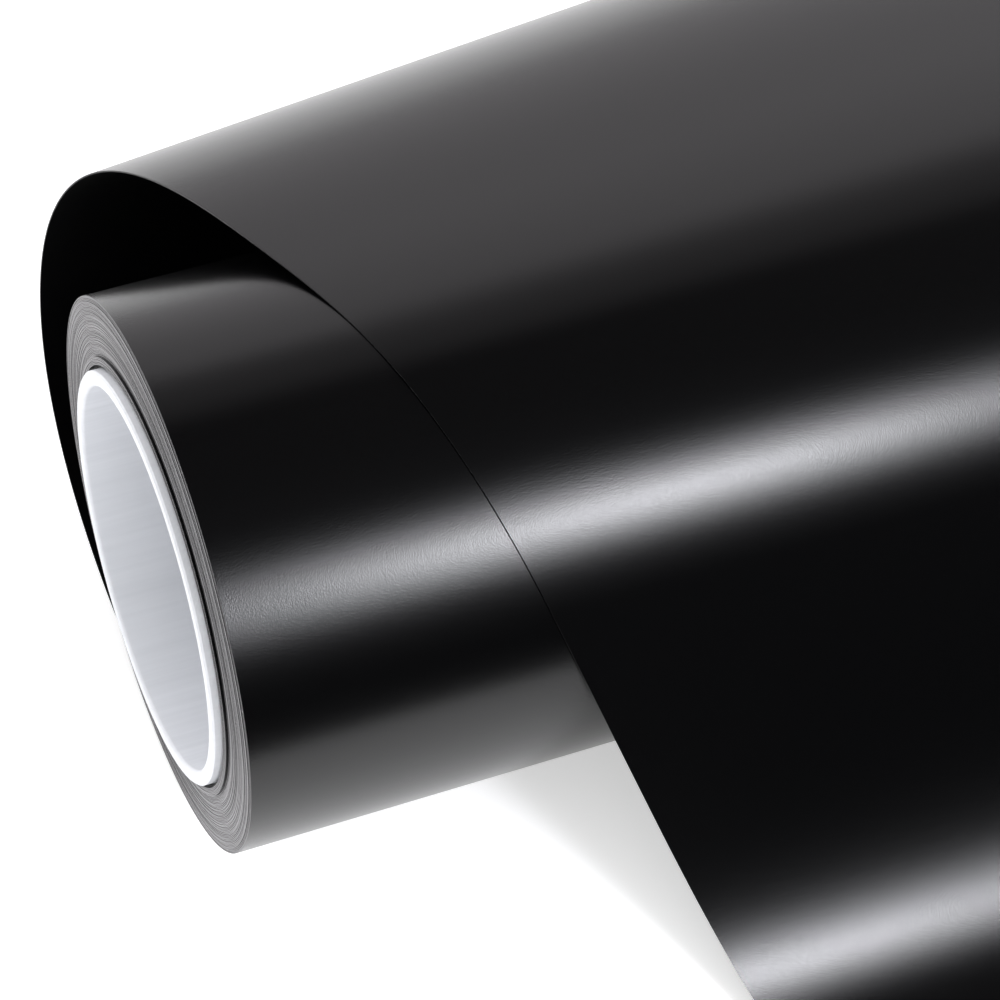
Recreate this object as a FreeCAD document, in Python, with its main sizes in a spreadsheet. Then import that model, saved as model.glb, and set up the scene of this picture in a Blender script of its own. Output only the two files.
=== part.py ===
import FreeCAD, Part
import math
import os
from collections import namedtuple

# A roll of sign vinyl lying on a table with its last turn loose. The sheet leaves the wound turns
# at the bottom, runs back along the table, curls up behind the roll, comes over the top, lies on
# the front of the roll with a skewed edge, and runs down to the table in front.
#
# Frame: +X along the roll's axis, +Z up, -Y is the front, origin at the core's centre.
# Angles round the roll are taken from the front: 0 faces -Y, 90 is the top, 180 is the back.

V = FreeCAD.Vector
DOC = FreeCAD.newDocument("vinyl_roll")

# ---------------------------------------------------------------- driving dimensions (mm, degrees)
DIMENSIONS = [
    ("web_width", 304.8, "width of the sheet, 12 in"),
    ("film_thick", 0.11, "coloured face film"),
    ("adhesive_thick", 0.03, "adhesive between film and liner, left as a gap"),
    ("liner_thick", 0.14, "release liner"),
    ("core_bore", 76.2, "inside diameter of the core, 3 in"),
    ("core_wall", 3.15, "wall of the core"),
    ("core_overhang", 2.5, "core beyond the edge of the wound turns, each end"),
    ("core_round", 0.8, "rounding of the core's inner end edges"),
    ("core_chamfer", 0.4, "chamfer of the core's outer end edges"),
    ("pack_radius", 55.4, "outside of the tightly wound turns"),
    ("pack_cone", 0.8, "how far the innermost turns stand out past the outermost, each end"),
    ("tape_width", 25.0, "start tape, round the core"),
    ("tape_length", 280.0, "start tape, along the core"),
    ("tape_thick", 0.12, "start tape"),
    ("lay_gap", 0.25, "between the wound turns and the loose turn that lies on them"),
    ("skew_deg", 17.35, "angle of the loose sheet's edge to a plane across the axis"),
    ("touch_deg", 77.8, "angle round the roll where the loose sheet comes to lie on it"),
    ("lift_deg", 28.9, "angle round the roll where the sheet leaves it again"),
    ("edge_offset", 69.4, "left edge of the sheet from the roll's left end, at angle 0"),
    ("front_bend", 78.4, "length over which the sheet bends to the table in front"),
    ("apron_length", 150.0, "flat sheet in front, along its left edge"),
    ("curl_length", 226.8, "left edge of the curl, from the table behind to the roll's top"),
]

# Curvature (1/mm) of the curl and skew of its straight lines, at even steps along its left edge
# from the roll's top back to the table; the skew starts at that of the sheet on the roll. The
# last two curvatures and the last skew are adjusted so that the curl lands flat on the table.
CURL_BEND = [0.0202, 0.0008, 0.0142, 0.0240, 0.0188, 0.0097]
CURL_SKEW = [0.174, 0.127, 0.255]

CURL_STEPS = 120          # integration steps along the curl
CURL_STRIDE = 5           # steps between the straight lines that are kept
WRAP_SPANS = 10           # spans where the sheet lies on the roll
FRONT_SPANS = 12          # spans of the bend in front

# One straight line across the sheet's middle surface: its ends, the unit normal on the roll's
# side, and the distance along the left edge.
Line = namedtuple("Line", "left right inward along")


def make_sheet():
    """The spreadsheet that holds the driving dimensions, one aliased row each."""
    table = DOC.addObject("Spreadsheet::Sheet", "dims")
    for row, (name, value, note) in enumerate(DIMENSIONS, start=1):
        table.set("A%d" % row, name)
        table.set("B%d" % row, repr(value))
        table.setAlias("B%d" % row, name)
        table.set("C%d" % row, note)
    DOC.recompute()
    return table


SHEET = make_sheet()


def dim(name):
    return float(getattr(SHEET, name))


# ---------------------------------------------------------------- round pieces about the axis
def cylinder_along_x(name, radius, length, angle="360"):
    """A cylinder centred on the origin along X; its sizes are expressions on the sheet."""
    solid = DOC.addObject("Part::Cylinder", name)
    solid.Placement = FreeCAD.Placement(V(0, 0, 0), FreeCAD.Rotation(V(0, 1, 0), 90))
    solid.setExpression("Radius", radius)
    solid.setExpression("Height", length)
    solid.setExpression("Angle", angle)
    solid.setExpression(".Placement.Base.x", "-(%s) / 2" % length)
    return solid


def cut(name, base, tool):
    piece = DOC.addObject("Part::Cut", name)
    piece.Base = base
    piece.Tool = tool
    return piece


def circles(shape, radius):
    """Numbers of the full circular edges of one radius, counted from 1."""
    found = []
    for number, edge in enumerate(shape.Edges, start=1):
        curve = edge.Curve
        if isinstance(curve, Part.Circle) and abs(curve.Radius - radius) < 1e-6:
            found.append(number)
    return found


CORE_RADIUS = "(dims.core_bore / 2 + dims.core_wall)"


def make_core():
    """Plastic tube with rounded inner and chamfered outer end edges."""
    length = "(dims.web_width + 2 * dims.core_overhang)"
    outside = cylinder_along_x("core_outside", CORE_RADIUS, length)
    bore = cylinder_along_x("core_hole", "dims.core_bore / 2", length)
    tube = cut("core_blank", outside, bore)
    DOC.recompute()
    rounded = DOC.addObject("Part::Fillet", "core_rounded")
    rounded.Base = tube
    size = dim("core_round")
    rounded.Edges = [(n, size, size) for n in circles(tube.Shape, dim("core_bore") / 2)]
    DOC.recompute()
    core = DOC.addObject("Part::Chamfer", "core_tube")
    core.Base = rounded
    size = dim("core_chamfer")
    outer_radius = dim("core_bore") / 2 + dim("core_wall")
    core.Edges = [(n, size, size) for n in circles(rounded.Shape, outer_radius)]
    core.Label = "core_tube"
    return core


def make_tape_sector(name):
    """The block of the start tape, from the axis out to the tape's outside."""
    angle = "dims.tape_width / %s * 180 / pi" % CORE_RADIUS
    return cylinder_along_x(name, CORE_RADIUS + " + dims.tape_thick", "dims.tape_length", angle)


def make_tape():
    """Double-sided strip that holds the start of the sheet to the core."""
    sector = make_tape_sector("tape_sector")
    core_space = cylinder_along_x("tape_core_space", CORE_RADIUS, "dims.web_width")
    tape = cut("start_tape", sector, core_space)
    tape.Label = "start_tape"
    return tape


def make_wound_turns():
    """The tightly wound turns: a thick ring whose ends rise slightly towards the core."""
    barrel = cylinder_along_x("pack_barrel", "dims.pack_radius", "dims.web_width")
    ends = []
    for name, side in (("pack_left", -1), ("pack_right", 1)):
        cone = DOC.addObject("Part::Cone", name)
        cone.Placement = FreeCAD.Placement(V(0, 0, 0), FreeCAD.Rotation(V(0, 1, 0), 90 * side))
        cone.setExpression("Radius1", "dims.pack_radius")
        cone.setExpression("Radius2", CORE_RADIUS)
        cone.setExpression("Height", "dims.pack_cone")
        cone.setExpression(".Placement.Base.x", "%d * dims.web_width / 2" % side)
        ends.append(cone)
    block = DOC.addObject("Part::MultiFuse", "pack_block")
    block.Shapes = [barrel] + ends
    core_space = cylinder_along_x("pack_core_space", CORE_RADIUS, "dims.web_width + 10")
    ring = cut("pack_ring", block, core_space)
    turns = cut("wound_turns", ring, make_tape_sector("pack_tape_space"))
    turns.Label = "wound_turns"
    return turns


# ---------------------------------------------------------------- the loose sheet
def lay_radius():
    """Radius of the sheet's middle surface where it lies on the roll; also its height below
    the axis where it lies on the table."""
    return dim("pack_radius") + dim("lay_gap") + sheet_thickness() / 2


def sheet_thickness():
    return dim("film_thick") + dim("adhesive_thick") + dim("liner_thick")


def wrap_frame(angle):
    """Left edge point, edge direction and inward normal where the sheet lies on the roll."""
    radius = lay_radius()
    skew = math.radians(dim("skew_deg"))
    x = dim("edge_offset") - dim("web_width") / 2 - radius * math.tan(skew) * angle
    point = V(x, -radius * math.cos(angle), radius * math.sin(angle))
    round_ward = V(0, -math.sin(angle), -math.cos(angle))
    direction = V(math.sin(skew), 0, 0) + round_ward * math.cos(skew)
    inward = V(0, math.cos(angle), -math.sin(angle))
    return point, direction, inward


def at_step(values, share):
    """Value at a share (0 to 1) along a list of evenly spaced values, straight in between."""
    place = share * (len(values) - 1)
    low = min(int(place), len(values) - 2)
    return values[low] + (values[low + 1] - values[low]) * (place - low)


def march_curl(bends, skews):
    """Follow the sheet's left edge from the roll's top back to the table.

    The edge is a straight line on the flat sheet, so the surface along it is fixed by its
    curvature and by the skew of its straight lines. Gives (distance, point, direction, inward
    normal, skew) at every step.
    """
    skew_on_roll = math.tan(math.radians(dim("skew_deg")))
    skews = [skew_on_roll] + list(skews)
    point, along, inward = wrap_frame(math.radians(dim("touch_deg")))
    step = dim("curl_length") / CURL_STEPS
    path = [(0.0, point, along, inward, skews[0])]
    for i in range(CURL_STEPS):
        share = (i + 0.5) / CURL_STEPS
        bend = at_step(bends, share)
        twist = bend * at_step(skews, share)
        across = along.cross(inward)
        spin = along * twist + across * bend
        turn = FreeCAD.Rotation(spin, math.degrees(-spin.Length * step))
        new_along = turn.multVec(along)
        point = point - (along + new_along) * (step / 2)
        along = new_along
        inward = turn.multVec(inward)
        path.append(((i + 1) * step, point, along, inward, at_step(skews, (i + 1.0) / CURL_STEPS)))
    return path


def solve_three(residual, values, nudge):
    """Newton's method for three unknowns with a numerical Jacobian."""
    values = list(values)
    for _ in range(12):
        base = residual(values)
        if max(abs(b) for b in base) < 1e-10:
            break
        columns = []
        for i in range(3):
            moved = list(values)
            moved[i] += nudge[i]
            columns.append(V(*[(m - b) / nudge[i] for m, b in zip(residual(moved), base)]))
        whole = columns[0].dot(columns[1].cross(columns[2]))
        target = V(*[-b for b in base])
        for i in range(3):
            others = list(columns)
            others[i] = target
            values[i] += others[0].dot(others[1].cross(others[2])) / whole
    return values


def land_curl():
    """The curl whose far end lies flat on the table."""
    table_level = -lay_radius()

    def with_tail(tail):
        bends = CURL_BEND[:-2] + [tail[0], tail[1]]
        skews = CURL_SKEW[:-1] + [tail[2]]
        return march_curl(bends, skews)

    def miss(tail):
        _, point, _, inward, _ = with_tail(tail)[-1]
        return [(point.z - table_level) / 100, inward.x, inward.y]

    start = [CURL_BEND[-2], CURL_BEND[-1], CURL_SKEW[-1]]
    tail = solve_three(miss, start, [1e-6, 1e-6, 1e-5])
    print("curl tail", [round(value, 5) for value in tail], "miss", miss(tail))
    return with_tail(tail)


def line_at(distance, point, along, inward, skew):
    """The straight line of the surface that starts at a left edge point."""
    across = along.cross(inward)
    right = point + (along * skew + across) * dim("web_width")
    return Line(point, right, inward, distance)


def curl_lines():
    path = land_curl()
    kept = [line_at(*path[i]) for i in range(0, CURL_STEPS + 1, CURL_STRIDE)]
    kept.reverse()
    total = dim("curl_length")
    return [line._replace(along=total - line.along) for line in kept]


def back_lines(landing, along):
    """Flat sheet on the table, from the roll's lowest line back to where the curl starts."""
    left_run = landing.left.y / along.y
    right_run = landing.right.y / along.y
    start = Line(landing.left - along * left_run, landing.right - along * right_run,
                 landing.inward, 0.0)
    return [start, landing._replace(along=left_run)]


def wrap_lines():
    top = math.radians(dim("touch_deg"))
    low = math.radians(dim("lift_deg"))
    skew = math.tan(math.radians(dim("skew_deg")))
    lines = []
    for i in range(WRAP_SPANS + 1):
        angle = top + (low - top) * i / WRAP_SPANS
        point, along, inward = wrap_frame(angle)
        distance = lay_radius() * (top - angle)
        lines.append(line_at(distance, point, along, inward, skew))
    return lines


def slid(line, forward, down, slope, distance):
    """A wrap line moved forward and down without turning about X, with its new slope."""
    sideways = distance * math.tan(math.radians(dim("skew_deg")))
    shift = V(sideways, -forward, -down)
    inward = V(0, math.cos(slope), -math.sin(slope))
    return Line(line.left + shift, line.right + shift, inward, distance)


def front_lines():
    """The straight run off the roll, the bend to the table and the flat sheet beyond it."""
    lift = math.radians(dim("lift_deg"))
    length = dim("front_bend")
    turning = math.pi / 2 - lift
    rate = 2 * turning / length ** 2
    bend = [(0.0, 0.0, 0.0, lift)]
    fine = 20
    forward = 0.0
    down = 0.0
    step = length / (FRONT_SPANS * fine)
    for i in range(FRONT_SPANS * fine):
        middle = lift + rate * ((i + 0.5) * step) ** 2 / 2
        forward += math.sin(middle) * step
        down += math.cos(middle) * step
        if (i + 1) % fine == 0:
            distance = (i + 1) * step
            bend.append((forward, down, distance, lift + rate * distance ** 2 / 2))
    height = lay_radius() * (1 + math.sin(lift))
    straight = (height - down) / math.cos(lift)
    off = wrap_lines()[-1]
    run = [off._replace(along=0.0),
           slid(off, straight * math.sin(lift), straight * math.cos(lift), lift, straight)]
    curve = []
    for forward, down, distance, slope in bend:
        line = slid(run[1], forward, down, slope, distance)
        curve.append(line)
    landing = curve[-1]
    skew = math.radians(dim("skew_deg"))
    along = V(math.sin(skew), -math.cos(skew), 0)
    across = V(math.cos(skew), math.sin(skew), 0)
    tip = landing.left + along * dim("apron_length")
    flat = [landing, Line(tip, tip + across * dim("web_width"), landing.inward, 1.0)]
    return run, curve, flat


def sheet_stretches():
    """All stretches of the loose sheet in order, each a list of straight lines."""
    curl = curl_lines()
    along = land_direction(curl)
    back = back_lines(curl[0], along)
    run, curve, flat = front_lines()
    return [back, curl, wrap_lines(), run, curve, flat]


def land_direction(curl):
    """Direction of the left edge on the table behind the roll."""
    # the line's own direction is skew * along + across, and across is square to along
    line = (curl[0].right - curl[0].left) * (1 / dim("web_width"))
    skew = math.sqrt(max(line.dot(line) - 1, 0))
    across_x = V(line.x, line.y, 0)
    turn = FreeCAD.Rotation(V(0, 0, 1), math.degrees(math.atan2(1, skew)))
    along = turn.multVec(across_x)
    along.normalize()
    return along


def ruled_face(first, second, places):
    """The surface of straight lines between two smooth curves through matching points."""
    curves = []
    for points in (first, second):
        curve = Part.BSplineCurve()
        curve.interpolate(Points=points, Parameters=places)
        curves.append(curve)
    knots = curves[0].getKnots()
    repeats = curves[0].getMultiplicities()
    poles = [curve.getPoles() for curve in curves]
    surface = Part.BSplineSurface()
    surface.buildFromPolesMultsKnots(poles, [2, 2], repeats, [0.0, 1.0], knots,
                                     False, False, 1, curves[0].Degree)
    return surface.toShape()


def flat_face(corners):
    return Part.Face(Part.makePolygon(corners + corners[:1]))


def layer_faces(lines, inner, outer):
    """Faces of one stretch of a layer between two offsets from the middle surface."""
    places = [line.along for line in lines]
    rails = {}
    for side in ("left", "right"):
        for name, offset in (("in", inner), ("out", outer)):
            points = [getattr(line, side) - line.inward * offset for line in lines]
            rails[side, name] = points
    pairs = [(("left", "in"), ("right", "in")), (("left", "out"), ("right", "out")),
             (("left", "in"), ("left", "out")), (("right", "in"), ("right", "out"))]
    faces = []
    for first, second in pairs:
        if len(lines) == 2:
            faces.append(flat_face(rails[first] + rails[second][::-1]))
        else:
            faces.append(ruled_face(rails[first], rails[second], places))
    return faces


def end_face(line, inner, outer):
    corners = [line.left - line.inward * inner, line.right - line.inward * inner,
               line.right - line.inward * outer, line.left - line.inward * outer]
    return flat_face(corners)


def make_layer(name, stretches, inner, outer):
    """One layer of the loose sheet as a closed solid."""
    faces = []
    for lines in stretches:
        faces += layer_faces(lines, inner, outer)
    faces.append(end_face(stretches[0][0], inner, outer))
    faces.append(end_face(stretches[-1][-1], inner, outer))
    shell = Part.makeShell(faces)
    shell.sewShape(1e-5)
    solid = Part.makeSolid(shell)
    if solid.Volume < 0:
        solid.reverse()
    piece = DOC.addObject("Part::Feature", name)
    piece.Shape = solid
    piece.Placement = FreeCAD.Placement()
    piece.Label = name
    return piece


def make_loose_sheet():
    stretches = sheet_stretches()
    half = sheet_thickness() / 2
    film = make_layer("face_film", stretches, half - dim("film_thick"), half)
    liner = make_layer("release_liner", stretches, -half, -half + dim("liner_thick"))
    return [film, liner]


# ---------------------------------------------------------------- build, check, write
def check(piece):
    state = [word for word in piece.State if word in ("Invalid", "Error")]
    shape = piece.Shape
    if state or shape.isNull() or not shape.isValid() or len(shape.Solids) != 1:
        raise RuntimeError("%s failed: %s" % (piece.Label, state))
    print("%-14s %10.1f mm3" % (piece.Label, shape.Volume), shape.BoundBox)


def main():
    pieces = [make_core(), make_tape(), make_wound_turns()] + make_loose_sheet()
    DOC.recompute()
    for item in DOC.Objects:
        if "Invalid" in item.State or "Error" in item.State:
            raise RuntimeError("%s failed to recompute" % item.Name)
    for piece in pieces:
        check(piece)
    os.makedirs("parts", exist_ok=True)
    for piece in pieces:
        piece.Shape.exportStep("parts/%s.step" % piece.Label)


main()
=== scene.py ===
import math
import random

import bpy
import numpy as np
from mathutils import Matrix, Vector


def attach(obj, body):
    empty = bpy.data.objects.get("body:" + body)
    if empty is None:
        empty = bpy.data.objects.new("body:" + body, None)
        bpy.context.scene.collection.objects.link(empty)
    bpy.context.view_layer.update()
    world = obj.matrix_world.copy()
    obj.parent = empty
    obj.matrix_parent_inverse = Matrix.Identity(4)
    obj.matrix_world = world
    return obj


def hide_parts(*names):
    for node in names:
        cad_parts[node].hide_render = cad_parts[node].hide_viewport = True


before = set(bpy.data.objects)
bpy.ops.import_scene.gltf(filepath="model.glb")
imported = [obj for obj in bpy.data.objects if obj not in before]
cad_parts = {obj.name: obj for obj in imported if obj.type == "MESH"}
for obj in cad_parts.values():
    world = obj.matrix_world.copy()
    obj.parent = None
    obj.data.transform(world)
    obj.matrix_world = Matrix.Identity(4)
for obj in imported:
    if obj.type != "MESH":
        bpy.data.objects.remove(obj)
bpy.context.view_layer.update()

# The looks of a roll of black sign vinyl on a white core, in metres, in the frame of the CAD
# model: +X along the roll's axis, +Z up, -Y to the front, origin at the middle of the core.
# Angles round the roll are taken from the front: 0 faces -Y, 90 is the top, 180 is the back.

MM = 0.001

# ---------------------------------------------------------------- sizes, as in the CAD model
WEB_WIDTH = 304.8 * MM
FILM_THICK = 0.11 * MM
ADHESIVE_THICK = 0.03 * MM
LINER_THICK = 0.14 * MM
SHEET_THICK = FILM_THICK + ADHESIVE_THICK + LINER_THICK
CORE_IN = 38.1 * MM
CORE_OUT = CORE_IN + 3.15 * MM
CORE_OVERHANG = 2.5 * MM
CORE_ROUND = 0.8 * MM
CORE_CHAMFER = 0.4 * MM
PACK_RADIUS = 55.4 * MM
LAY_GAP = 0.25 * MM
SKEW = math.radians(17.35)
TOUCH = math.radians(77.8)
LIFT = math.radians(28.9)
EDGE_OFFSET = 69.4 * MM
FRONT_BEND = 78.4 * MM
APRON_LENGTH = 150.0 * MM
CURL_LENGTH = 226.8 * MM
LAY_RADIUS = PACK_RADIUS + LAY_GAP + SHEET_THICK / 2
FLOOR_LEVEL = -LAY_RADIUS - SHEET_THICK / 2

# Curvature (1/m) of the curl and skew of its straight lines, at even steps along the left edge
# from the roll's top back to the table. The last values land it flat on the table.
CURL_BEND = [20.2, 0.8, 14.2, 24.0, 18.6944, 9.8487]
CURL_SKEW = [math.tan(SKEW), 0.174, 0.127, 0.25772]

# ---------------------------------------------------------------- ends of the wound turns
# These are finer than in the CAD model, where the turns lie on the core and end on a cone.
CORE_GAP = 0.75 * MM        # open ring between the core and the first turn
GAP_DEPTH = 1.8 * MM        # how far that ring goes in
INNER_GROUP = 1.7 * MM      # innermost turns that stand proud: their height on the core
INNER_REACH = 0.95 * MM     # and how far they stand out past the outermost turn
PACK_REACH = 0.22 * MM      # the same for the turns in between, at the outside
PACK_CONE = 0.08 * MM       # and what that gains towards the core
OUTER_STEPS = ((1.2 * MM, 0.0), (1.9 * MM, 0.12 * MM))    # depth from outside, reach
GROOVE_DEPTH = 0.10 * MM    # grooves between the turns' edges
DRIFT_SIZE = 0.07           # in mm, how much one turn's edge differs from the next
DRIFT_KEPT = 0.3            # share of a turn's drift that the next one keeps
WOBBLE_SIZE = 0.008         # in mm, most that one turn's edge waves round the roll
TURN_SEED = 11

# ---------------------------------------------------------------- mesh steps
CURL_STEPS = 240
WRAP_STEPS = 60
BEND_STEPS = 120
FLAT_STEPS = 12
ACROSS_STEPS = 48
ROUND_STEPS = 288
ARC_STEPS = 6
CORE_STEPS = 16
FACE_STEPS = 32


# ---------------------------------------------------------------- mesh helpers
def new_piece(name, points, faces, material, sharp_edges=()):
    """A smooth-shaded mesh object, with the listed edges kept sharp."""
    mesh = bpy.data.meshes.new(name)
    mesh.from_pydata([tuple(p) for p in points], [], faces)
    mesh.update()
    mesh.shade_smooth()
    if sharp_edges:
        wanted = set(sharp_edges)
        flags = [tuple(sorted(edge.vertices)) in wanted for edge in mesh.edges]
        attribute = mesh.attributes.get("sharp_edge")
        if attribute is None:
            attribute = mesh.attributes.new("sharp_edge", "BOOLEAN", "EDGE")
        attribute.data.foreach_set("value", flags)
    mesh.materials.append(material)
    piece = bpy.data.objects.new(name, mesh)
    bpy.context.scene.collection.objects.link(piece)
    return piece


def turned_piece(name, outline, materials, finish=None, wobble=None, corners=()):
    """A closed ring turned about the X axis from an outline of (x, radius) points.

    finish gives the number of the material of each stretch of the outline, wobble(index, angle)
    a small shift along X, and corners lists the outline points that keep a sharp edge.
    """
    count = len(outline)
    points = []
    for step in range(ROUND_STEPS):
        angle = 2 * math.pi * step / ROUND_STEPS
        for index, (x, radius) in enumerate(outline):
            shift = wobble(index, angle) if wobble else 0.0
            points.append((x + shift, -radius * math.cos(angle), radius * math.sin(angle)))
    faces = []
    sharp = []
    for step in range(ROUND_STEPS):
        here = step * count
        there = (step + 1) % ROUND_STEPS * count
        for index in range(count):
            after = (index + 1) % count
            faces.append((here + index, here + after, there + after, there + index))
        sharp += [tuple(sorted((here + index, there + index))) for index in corners]
    piece = new_piece(name, points, faces, materials[0], sharp)
    for material in materials[1:]:
        piece.data.materials.append(material)
    if finish:
        piece.data.polygons.foreach_set("material_index", list(finish) * ROUND_STEPS)
    return piece


# ---------------------------------------------------------------- materials
class Nodes:
    """Short calls to build one material's node tree."""

    def __init__(self, name):
        self.material = bpy.data.materials.new(name)
        self.material.use_nodes = True
        self.tree = self.material.node_tree
        self.shader = self.tree.nodes["Principled BSDF"]
        self.place = self.add("ShaderNodeTexCoord").outputs["Object"]

    def add(self, kind, **settings):
        node = self.tree.nodes.new(kind)
        for key, value in settings.items():
            setattr(node, key, value)
        return node

    def link(self, output, target):
        self.tree.links.new(output, target)

    def set(self, **values):
        for key, value in values.items():
            self.shader.inputs[key.replace("_", " ")].default_value = value

    def noise(self, scale, detail=2.0, rough=0.5, vector=None):
        node = self.add("ShaderNodeTexNoise")
        node.inputs["Scale"].default_value = scale
        node.inputs["Detail"].default_value = detail
        node.inputs["Roughness"].default_value = rough
        self.link(vector or self.place, node.inputs["Vector"])
        return node.outputs["Fac"]

    def ramp(self, value, stops):
        node = self.add("ShaderNodeValToRGB")
        elements = node.color_ramp.elements
        while len(elements) < len(stops):
            elements.new(0.5)
        for element, (position, colour) in zip(elements, stops):
            element.position = position
            element.color = (*colour, 1.0)
        self.link(value, node.inputs["Fac"])
        return node.outputs["Color"]

    def math(self, operation, first, second):
        node = self.add("ShaderNodeMath", operation=operation)
        for socket, value in zip(node.inputs, (first, second)):
            if isinstance(value, (int, float)):
                socket.default_value = value
            else:
                self.link(value, socket)
        return node.outputs["Value"]

    def spread(self, value, low, high):
        node = self.add("ShaderNodeMapRange")
        node.inputs["To Min"].default_value = low
        node.inputs["To Max"].default_value = high
        self.link(value, node.inputs["Value"])
        return node.outputs["Result"]

    def radius(self):
        """Distance from the roll's axis, in metres."""
        split = self.add("ShaderNodeSeparateXYZ")
        self.link(self.place, split.inputs[0])
        squares = [self.math("MULTIPLY", split.outputs[axis], split.outputs[axis])
                   for axis in ("Y", "Z")]
        return self.math("SQRT", self.math("ADD", *squares), 0.0)

    def bump(self, height, distance):
        node = self.add("ShaderNodeBump")
        node.inputs["Distance"].default_value = distance
        node.inputs["Strength"].default_value = 1.0
        self.link(height, node.inputs["Height"])
        self.link(node.outputs["Normal"], self.shader.inputs["Normal"])


def film_material():
    """Satin black vinyl: very fine grain, slight unevenness of gloss."""
    tone_scale = 2600
    gloss_scale = 5000
    grain_scale = 3800
    grain_height = 0.013 * MM
    n = Nodes("satin_black_vinyl")
    tone = n.ramp(n.noise(tone_scale, 3.0, 0.6),
                  [(0.3, (0.0004, 0.0004, 0.0005)), (0.7, (0.0011, 0.0011, 0.0013))])
    n.link(tone, n.shader.inputs["Base Color"])
    n.link(n.spread(n.noise(gloss_scale, 1.0), 0.20, 0.28), n.shader.inputs["Roughness"])
    n.set(IOR=1.5, Specular_IOR_Level=0.36)
    n.bump(n.noise(grain_scale, 0.0), grain_height)
    return n.material


def liner_material():
    """Back of the release liner: plain, black, slightly shiny coated paper."""
    n = Nodes("black_liner_back")
    tone = n.ramp(n.noise(900, 4.0, 0.6),
                  [(0.3, (0.0004, 0.0004, 0.0007)), (0.7, (0.0012, 0.0012, 0.0016))])
    n.link(tone, n.shader.inputs["Base Color"])
    n.link(n.spread(n.noise(260, 3.0), 0.5, 0.62), n.shader.inputs["Roughness"])
    n.set(IOR=1.42, Specular_IOR_Level=0.2)
    n.bump(n.noise(1800, 4.0, 0.6), 0.006 * MM)
    return n.material


def turn_edge_material():
    """Slit edges of the wound turns: fine rings of differing greys and a few white specks."""
    fine_scale = 4200
    broad_scale = 700
    speck_scale = 420
    speck_size = 0.10
    speck_band = 0.9 * MM
    patch_scale = 60
    patch_limit = 0.60
    n = Nodes("wound_turn_edges")
    radius = n.radius()
    along = n.add("ShaderNodeCombineXYZ")
    n.link(radius, along.inputs["X"])
    fine = n.noise(fine_scale, 2.0, 0.7, along.outputs["Vector"])
    broad = n.noise(broad_scale, 3.0, 0.6, along.outputs["Vector"])
    rings = n.math("ADD", n.math("MULTIPLY", fine, 0.6), n.math("MULTIPLY", broad, 0.4))
    tone = n.ramp(rings, [(0.34, (0.06, 0.059, 0.062)), (0.5, (0.18, 0.175, 0.182)),
                          (0.66, (0.35, 0.34, 0.35))])
    speck = n.add("ShaderNodeTexVoronoi")
    speck.inputs["Scale"].default_value = speck_scale
    n.link(n.place, speck.inputs["Vector"])
    near = n.math("LESS_THAN", speck.outputs["Distance"], speck_size)
    outer = n.math("GREATER_THAN", radius, PACK_RADIUS - speck_band)
    rare = n.math("GREATER_THAN", n.noise(patch_scale, 1.0), patch_limit)
    mask = n.math("MULTIPLY", n.math("MULTIPLY", near, outer), rare)
    mix = n.add("ShaderNodeMix", data_type="RGBA")
    n.link(mask, mix.inputs["Factor"])
    n.link(tone, mix.inputs["A"])
    mix.inputs["B"].default_value = (0.75, 0.75, 0.75, 1.0)
    n.link(mix.outputs["Result"], n.shader.inputs["Base Color"])
    n.link(n.spread(fine, 0.38, 0.6), n.shader.inputs["Roughness"])
    n.bump(fine, 0.05 * MM)
    return n.material


def cut_edge_material():
    """Long cut edges of the loose sheet: dull dark plastic and paper."""
    n = Nodes("cut_sheet_edge")
    tone = n.ramp(n.noise(1500, 3.0), [(0.35, (0.012, 0.012, 0.013)), (0.65, (0.05, 0.05, 0.052))])
    n.link(tone, n.shader.inputs["Base Color"])
    n.link(n.spread(n.noise(900, 2.0), 0.45, 0.6), n.shader.inputs["Roughness"])
    return n.material


def core_material():
    """Smooth white plastic tube with faint run marks along it."""
    stretch = 0.04
    n = Nodes("white_core_plastic")
    stretched = n.add("ShaderNodeMapping")
    stretched.inputs["Scale"].default_value = (stretch, 1.0, 1.0)
    n.link(n.place, stretched.inputs["Vector"])
    runs = n.noise(420, 3.0, 0.6, stretched.outputs["Vector"])
    tone = n.ramp(runs, [(0.3, (0.70, 0.715, 0.75)), (0.7, (0.76, 0.775, 0.81))])
    n.link(tone, n.shader.inputs["Base Color"])
    n.link(n.spread(n.noise(700, 2.0), 0.34, 0.46), n.shader.inputs["Roughness"])
    n.set(IOR=1.49)
    n.bump(runs, 0.01 * MM)
    return n.material


def tape_material():
    """Slightly yellow translucent tape under the first turn."""
    n = Nodes("core_tape")
    tone = n.ramp(n.noise(500, 3.0), [(0.3, (0.58, 0.55, 0.44)), (0.7, (0.68, 0.66, 0.55))])
    n.link(tone, n.shader.inputs["Base Color"])
    n.set(Roughness=0.45)
    n.bump(n.noise(1200, 3.0), 0.01 * MM)
    return n.material


# ---------------------------------------------------------------- the roll
def arc(centre, radius, start, end):
    """Outline points on an arc, from one angle to another in degrees, both ends included."""
    points = []
    for step in range(ARC_STEPS + 1):
        angle = math.radians(start + (end - start) * step / ARC_STEPS)
        points.append((centre[0] + radius * math.cos(angle), centre[1] + radius * math.sin(angle)))
    return points


def straight(start, end, radius, steps):
    """Outline points at one radius from one place along X to another, both ends left out."""
    return [(start + (end - start) * i / steps, radius) for i in range(1, steps)]


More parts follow.
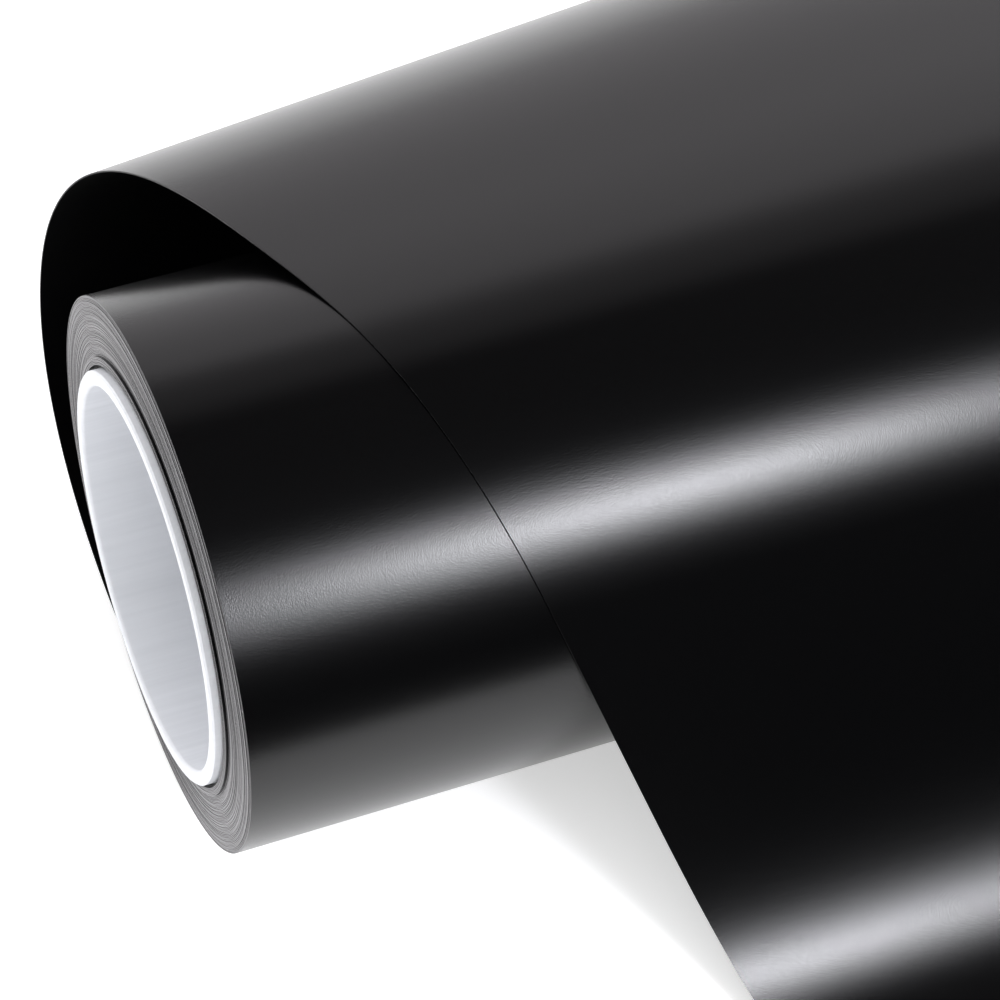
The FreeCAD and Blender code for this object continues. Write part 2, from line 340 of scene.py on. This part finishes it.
def make_core(material):
    """Tube with rounded inner and chamfered outer end edges."""
    half = WEB_WIDTH / 2 + CORE_OVERHANG
    left = arc((-half + CORE_ROUND, CORE_IN + CORE_ROUND), CORE_ROUND, 270, 180)
    left += [(-half, CORE_OUT - CORE_CHAMFER), (-half + CORE_CHAMFER, CORE_OUT)]
    outside = straight(CORE_CHAMFER - half, half - CORE_CHAMFER, CORE_OUT, CORE_STEPS)
    right = [(-x, radius) for x, radius in reversed(left)]
    inside = straight(half - CORE_ROUND, CORE_ROUND - half, CORE_IN, CORE_STEPS)
    outline = left + outside + right + inside
    corners = [len(left) - 2, len(left) - 1,
               len(left) + len(outside), len(left) + len(outside) + 1]
    return turned_piece("core", outline, [material], corners=corners)


def pack_edge(radius):
    """How far along X the wound turns reach at a radius. The outermost few turns end in steps
    and the innermost few stand proud. The turns in between end on a shallow cone."""
    depth = PACK_RADIUS - radius
    for limit, reach in OUTER_STEPS:
        if depth < limit:
            return WEB_WIDTH / 2 + reach
    if radius < CORE_OUT + CORE_GAP + INNER_GROUP:
        return WEB_WIDTH / 2 + INNER_REACH
    share = depth / (PACK_RADIUS - CORE_OUT)
    return WEB_WIDTH / 2 + PACK_REACH + PACK_CONE * share


def make_turn_edges(edge_material, face_material):
    """The wound turns inside the outermost one, with every turn's edge at both ends."""
    rng = random.Random(TURN_SEED)
    core_clearance = 0.05 * MM
    last_recess = 0.4 * MM
    inner = CORE_OUT + core_clearance
    first = CORE_OUT + CORE_GAP
    last = PACK_RADIUS - SHEET_THICK
    count = round((last - first) / SHEET_THICK)
    pitch = (last - first) / count
    wall = 0.02 * pitch
    shoulder = 0.10 * pitch
    edge, face = 0, 1
    sides = []
    for _ in range(2):
        # The ring is closed at this depth by a floor of the black face material: painted shade for
        # the deeper, unlit part of the gap.
        floor_x = pack_edge(first) - GAP_DEPTH
        points = [(floor_x, inner), (floor_x, first)]
        phases = [(0.0, 0.0)] * 2
        finish = [face, face]
        drift = 0.0
        for turn in range(count):
            low = first + turn * pitch
            drift = DRIFT_KEPT * drift + rng.uniform(-DRIFT_SIZE, DRIFT_SIZE) * MM
            reach = pack_edge(low + pitch / 2) + drift
            phase = (rng.uniform(0, 2 * math.pi), rng.uniform(0.0, WOBBLE_SIZE) * MM)
            groove = reach - GROOVE_DEPTH
            points += [(groove, low + wall), (reach, low + shoulder),
                       (reach, low + pitch - shoulder), (groove, low + pitch - wall)]
            phases += [phase] * 4
            finish += [face, edge, face, face]
        points.append((pack_edge(last) - last_recess, last))
        phases.append((0.0, 0.0))
        sides.append((points, phases, finish))
    (left, left_phases, left_finish), (right, right_phases, right_finish) = sides
    outline = [(-x, radius) for x, radius in left] + list(reversed(right))
    phases = left_phases + list(reversed(right_phases))
    finish = left_finish + [face] + list(reversed(right_finish)) + [face]

    def wobble(index, angle):
        phase, size = phases[index]
        return size * math.sin(2 * angle + phase)

    return turned_piece("wound_turn_edges", outline, [edge_material, face_material], finish,
                        wobble, range(len(outline)))


def make_outer_turn(face_material, edge_material):
    """The outermost wound turn, whose face shows."""
    half = WEB_WIDTH / 2
    round_off = 0.06 * MM
    inner = PACK_RADIUS - SHEET_THICK
    span = half - round_off
    outline = [(-half, inner), (-half, PACK_RADIUS - round_off), (-span, PACK_RADIUS)]
    outline += straight(-span, span, PACK_RADIUS, FACE_STEPS)
    outline += [(span, PACK_RADIUS), (half, PACK_RADIUS - round_off), (half, inner)]
    last = len(outline) - 1
    finish = [0] * len(outline)
    finish[0] = finish[last - 1] = 1
    return turned_piece("outer_wound_turn", outline, [face_material, edge_material], finish,
                        corners=[0, 1, 2, last - 2, last - 1, last])


# ---------------------------------------------------------------- the loose sheet
def at_step(values, share):
    """Value at a share (0 to 1) along a list of evenly spaced values, straight in between."""
    return float(np.interp(share * (len(values) - 1), range(len(values)), values))


def wrap_frame(angle):
    """Left edge point, edge direction and inward normal where the sheet lies on the roll."""
    x = EDGE_OFFSET - WEB_WIDTH / 2 - LAY_RADIUS * math.tan(SKEW) * angle
    point = Vector((x, -LAY_RADIUS * math.cos(angle), LAY_RADIUS * math.sin(angle)))
    round_ward = Vector((0, -math.sin(angle), -math.cos(angle)))
    direction = Vector((math.sin(SKEW), 0, 0)) + round_ward * math.cos(SKEW)
    inward = Vector((0, math.cos(angle), -math.sin(angle)))
    return point, direction, inward


def line_at(point, along, inward, skew):
    """A straight line across the sheet: its left end, right end and inward normal."""
    across = along.cross(inward)
    return point, point + (along * skew + across) * WEB_WIDTH, inward


def curl_lines():
    """Lines of the curl, from the table behind to the roll's top."""
    point, along, inward = wrap_frame(TOUCH)
    lines = [line_at(point, along, inward, CURL_SKEW[0])]
    step = CURL_LENGTH / CURL_STEPS
    for i in range(CURL_STEPS):
        share = (i + 0.5) / CURL_STEPS
        bend = at_step(CURL_BEND, share)
        twist = bend * at_step(CURL_SKEW, share)
        spin = along * twist + along.cross(inward) * bend
        turn = Matrix.Rotation(-spin.length * step, 3, spin)
        new_along = turn @ along
        point = point - (along + new_along) * (step / 2)
        along = new_along
        inward = turn @ inward
        lines.append(line_at(point, along, inward, at_step(CURL_SKEW, (i + 1) / CURL_STEPS)))
    lines.reverse()
    return lines, along


def between(start, end, steps):
    """Lines of a flat stretch after its first line, the last one included."""
    lines = []
    for i in range(1, steps + 1):
        share = i / steps
        lines.append((start[0].lerp(end[0], share), start[1].lerp(end[1], share), start[2]))
    return lines


def sheet_lines():
    """All lines of the loose sheet's middle surface in order, with the flat stretches level."""
    curl, along = curl_lines()
    landing = curl[0]
    start = (landing[0] - along * (landing[0].y / along.y),
             landing[1] - along * (landing[1].y / along.y), landing[2])
    lines = [start] + between(start, landing, FLAT_STEPS) + curl[1:]
    for i in range(1, WRAP_STEPS + 1):
        frame_here = wrap_frame(TOUCH + (LIFT - TOUCH) * i / WRAP_STEPS)
        lines.append(line_at(*frame_here, math.tan(SKEW)))
    return lines + front_lines(lines[-1])


def front_lines(off):
    """The straight run off the roll, the bend to the table and the flat sheet beyond it."""
    rate = 2 * (math.pi / 2 - LIFT) / FRONT_BEND ** 2
    step = FRONT_BEND / BEND_STEPS
    forward = down = 0.0
    bend = []
    for i in range(BEND_STEPS):
        middle = LIFT + rate * ((i + 0.5) * step) ** 2 / 2
        forward += math.sin(middle) * step
        down += math.cos(middle) * step
        distance = (i + 1) * step
        bend.append((forward, down, distance, LIFT + rate * distance ** 2 / 2))
    run = (LAY_RADIUS * (1 + math.sin(LIFT)) - down) / math.cos(LIFT)
    run_end = moved(off, run * math.sin(LIFT), run * math.cos(LIFT), run, LIFT)
    lines = between(off, run_end, FLAT_STEPS)
    lines += [moved(run_end, *place) for place in bend]
    along = Vector((math.sin(SKEW), -math.cos(SKEW), 0))
    across = Vector((math.cos(SKEW), math.sin(SKEW), 0))
    tip = lines[-1][0] + along * APRON_LENGTH
    return lines + between(lines[-1], (tip, tip + across * WEB_WIDTH, lines[-1][2]), FLAT_STEPS)


def moved(line, forward, down, distance, slope):
    """A line moved forward and down, and sideways with the sheet's skew, with its new slope."""
    shift = Vector((distance * math.tan(SKEW), -forward, -down))
    return line[0] + shift, line[1] + shift, Vector((0, math.cos(slope), -math.sin(slope)))


def make_layer(name, lines, inner, outer, material, edge_material):
    """One layer of the sheet as a thin closed mesh between two offsets from the middle. Its cut
    edges have the second material."""
    rows = len(lines)
    columns = ACROSS_STEPS + 1
    points = []
    for offset in (inner, outer):
        for left, right, inward in lines:
            for i in range(columns):
                points.append(left.lerp(right, i / ACROSS_STEPS) - inward * offset)
    layer = rows * columns
    faces = []
    for row in range(rows - 1):
        for column in range(columns - 1):
            a = row * columns + column
            b = a + 1
            c = a + columns + 1
            d = a + columns
            faces.append((a, b, c, d))
            faces.append((layer + d, layer + c, layer + b, layer + a))
    rim = [row * columns for row in range(rows)]
    rim += [(rows - 1) * columns + column for column in range(1, columns)]
    rim += [row * columns + columns - 1 for row in range(rows - 2, -1, -1)]
    rim += list(range(columns - 2, 0, -1))
    sharp = []
    for here, there in zip(rim, rim[1:] + rim[:1]):
        faces.append((here, there, layer + there, layer + here))
        sharp += [tuple(sorted((here, there))), tuple(sorted((layer + here, layer + there)))]
    piece = new_piece(name, points, faces, material, sharp)
    piece.data.materials.append(edge_material)
    finish = [0] * (len(faces) - len(rim)) + [1] * len(rim)
    piece.data.polygons.foreach_set("material_index", finish)
    return piece


# ---------------------------------------------------------------- stage, light, camera
def make_floor():
    """A plain pale table. Its part in front of the roll isn't mirrored in the vinyl."""
    reach = 12.0
    front_edge = -0.188
    n = Nodes("pale_floor")
    n.set(Base_Color=(0.93, 0.93, 0.93, 1.0), Roughness=0.9, Specular_IOR_Level=0.1,
          Emission_Color=(1.0, 1.0, 1.0, 1.0), Emission_Strength=0.45)
    for name, low, high in (("floor", front_edge, reach), ("floor_front", -reach, front_edge)):
        corners = [(-reach, low), (reach, low), (reach, high), (-reach, high)]
        part = new_piece(name, [(x, y, FLOOR_LEVEL) for x, y in corners], [(0, 1, 2, 3)],
                         n.material)
        part.visible_glossy = name == "floor"


def make_light(name, direction, distance, size, power, colour=(1.0, 1.0, 1.0), mirrored=True):
    """A soft box that faces the origin, with its width level. A fill light that isn't mirrored
    lights the matt surfaces only."""
    data = bpy.data.lights.new(name, "AREA")
    data.shape = "RECTANGLE"
    data.size, data.size_y = size
    data.energy = power
    data.color = colour
    light = bpy.data.objects.new(name, data)
    light.visible_glossy = mirrored
    back = Vector(direction).normalized()
    side = Vector((1, 0, 0))
    side = (side - back * side.dot(back)).normalized()
    up = back.cross(side)
    turn = Matrix((side, up, back)).transposed().to_4x4()
    light.matrix_world = Matrix.Translation(back * distance) @ turn
    bpy.context.scene.collection.objects.link(light)


def make_lights():
    """A key of nested boxes whose glow fades outwards, broad boxes behind and above that the
    vinyl mirrors, and fills for the matt surfaces."""
    cool = (0.945, 0.95, 1.0)
    plum = (1.0, 0.965, 1.0)
    key_direction = (0.262, -0.777, 0.569)
    key_boxes = (((0.22, 0.24), 7.3), ((0.37, 0.58), 12.0), ((0.54, 1.00), 8.3))
    for level, (size, power) in enumerate(key_boxes):
        make_light(f"key_{level}", key_direction, 2.0 + 0.01 * level, size, power, cool)
    make_light("backdrop", (0.10, 0.92, 0.37), 2.2, (4.0, 1.7), 27, plum)
    make_light("backdrop_top", (0.10, 0.62, 0.78), 2.2, (4.0, 1.0), 5, plum)
    make_light("overhead", (0.10, -0.05, 1.0), 2.2, (4.0, 1.6), 2.0, plum)
    make_light("back_left", (-0.72, 0.60, 0.34), 2.4, (1.2, 0.5), 7)
    make_light("back_right", (0.76, 0.56, 0.34), 2.4, (1.2, 0.5), 7)
    make_light("front_fill", (0.15, -0.95, 0.30), 2.0, (2.4, 1.0), 18, mirrored=False)
    make_light("top_fill", (-0.20, -0.1, 1.0), 2.5, (3.0, 3.0), 27, mirrored=False)


def make_world():
    """Even pale surroundings that light the matt surfaces and aren't mirrored in the vinyl."""
    world = bpy.data.worlds.new("studio")
    world.use_nodes = True
    background = world.node_tree.nodes["Background"]
    background.inputs["Color"].default_value = (1.0, 1.0, 1.0, 1.0)
    background.inputs["Strength"].default_value = 0.50
    bpy.context.scene.world = world
    world.cycles_visibility.glossy = False


def make_camera():
    """Looks down on the roll's left end, a little from the front."""
    azimuth = math.radians(27.66)
    elevation = math.radians(54.91)
    roll = math.radians(7.71)
    position = Vector((-0.29216, -0.40368, 0.64181))
    look = Vector((math.sin(azimuth) * math.cos(elevation),
                   math.cos(azimuth) * math.cos(elevation), -math.sin(elevation)))
    level = Vector((math.cos(azimuth), -math.sin(azimuth), 0))
    right = level * math.cos(roll) + level.cross(look) * math.sin(roll)
    up = right.cross(look)
    data = bpy.data.cameras.new("camera")
    data.sensor_width = 36.0
    data.lens = 144.0
    data.clip_start = 0.05
    data.clip_end = 60.0
    camera = bpy.data.objects.new("camera", data)
    turn = Matrix((right, up, -look)).transposed().to_4x4()
    camera.matrix_world = Matrix.Translation(position) @ turn
    bpy.context.scene.collection.objects.link(camera)
    bpy.context.scene.camera = camera


# ---------------------------------------------------------------- assembly
film_black = film_material()
edge_grey = turn_edge_material()
cut_edge = cut_edge_material()

core = make_core(core_material())
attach(core, "roll")
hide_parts("core_tube")

turn_edges = make_turn_edges(edge_grey, film_black)
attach(turn_edges, "roll")
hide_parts("wound_turns")

outer_turn = make_outer_turn(film_black, edge_grey)
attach(outer_turn, "roll")
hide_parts("wound_turns")

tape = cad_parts["start_tape"]
tape.data.materials.clear()
tape.data.materials.append(tape_material())

loose_lines = sheet_lines()
half_sheet = SHEET_THICK / 2
liner = make_layer("release_liner_sheet", loose_lines, -half_sheet, -half_sheet + LINER_THICK,
                   liner_material(), cut_edge)
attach(liner, "loose_web")
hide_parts("release_liner")

film = make_layer("face_film_sheet", loose_lines, half_sheet - FILM_THICK, half_sheet, film_black,
                  cut_edge)
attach(film, "loose_web")
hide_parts("face_film")

make_floor()
make_lights()
make_world()
make_camera()
bpy.context.scene.view_settings.view_transform = "Standard"
